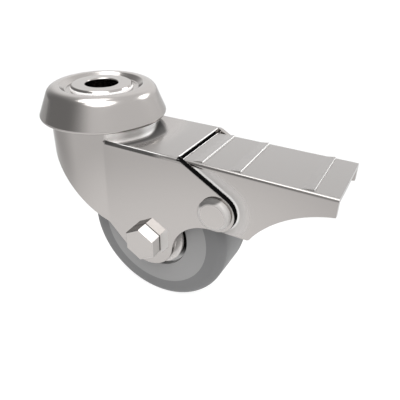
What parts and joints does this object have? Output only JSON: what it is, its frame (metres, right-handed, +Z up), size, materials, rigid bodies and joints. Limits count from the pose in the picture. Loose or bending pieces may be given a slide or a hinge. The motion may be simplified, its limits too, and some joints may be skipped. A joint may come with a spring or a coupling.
{
  "type": "braked swivel castor",
  "caption": "Swivel castor: a pressed steel fork turns under a capped ball race with a bolt hole, carries a tyred wheel between its legs and has a foot pedal brake at the rear.",
  "frame": {"origin": "centre of the bolt hole, level with the head's top face that meets the furniture", "axes": "+Z up along the swivel axis, +X to the rear towards the brake pedal, +Y across along the axle to its nut"},
  "size_m": [0.0991, 0.0428, 0.0682],
  "materials": {
    "zinc_cap": "bright zinc plated, smooth",
    "zinc_fork": "bright zinc plated, smooth, dark cut edges",
    "zinc_pedal": "bright zinc plated, smooth",
    "turned_steel": "turned and zinc plated",
    "bolt_steel": "zinc plated",
    "rivet_steel": "zinc plated, smooth domed head",
    "guard_steel": "bright, pressed",
    "spring_steel": "plain strip",
    "bearing_steel": "ground",
    "insert_plastic": "moulded",
    "core_plastic": "moulded, smooth",
    "tyre_rubber": "smooth grey rubber, low sheen"
  },
  "bodies": {
    "head": {"head_cap": "zinc_cap", "kingpin": "turned_steel", "lower_race": "bearing_steel", "upper_balls": "bearing_steel", "lower_balls": "bearing_steel"},
    "fork": {"fork": "zinc_fork", "axle_bolt": "bolt_steel", "axle_nut": "bolt_steel", "nut_insert": "insert_plastic", "thread_guard_near": "guard_steel", "thread_guard_far": "guard_steel", "axle_spacers": "turned_steel", "bearing_inner_rings": "bearing_steel", "pivot_pin": "rivet_steel"},
    "wheel": {"wheel_core": "core_plastic", "tyre": "tyre_rubber", "bearing_outer_rings": "bearing_steel", "bearing_balls": "bearing_steel", "bearing_shields": "bearing_steel"},
    "pedal": {"pedal": "zinc_pedal", "brake_plate": "spring_steel"}
  },
  "joints": [
    {"name": "swivel", "type": "hinge", "parent": "head", "child": "fork", "pos_m": [0, 0, 0], "axis": [0, 0, 1], "continuous": true},
    {"name": "wheel_spin", "type": "hinge", "parent": "fork", "child": "wheel", "pos_m": [0.0244, 0, -0.0432], "axis": [0, 1, 0], "continuous": true},
    {"name": "pedal_pivot", "type": "hinge", "parent": "fork", "child": "pedal", "pos_m": [0.0479, 0, -0.0262], "axis": [0, 1, 0], "range_deg": [0, 10]}
  ]
}
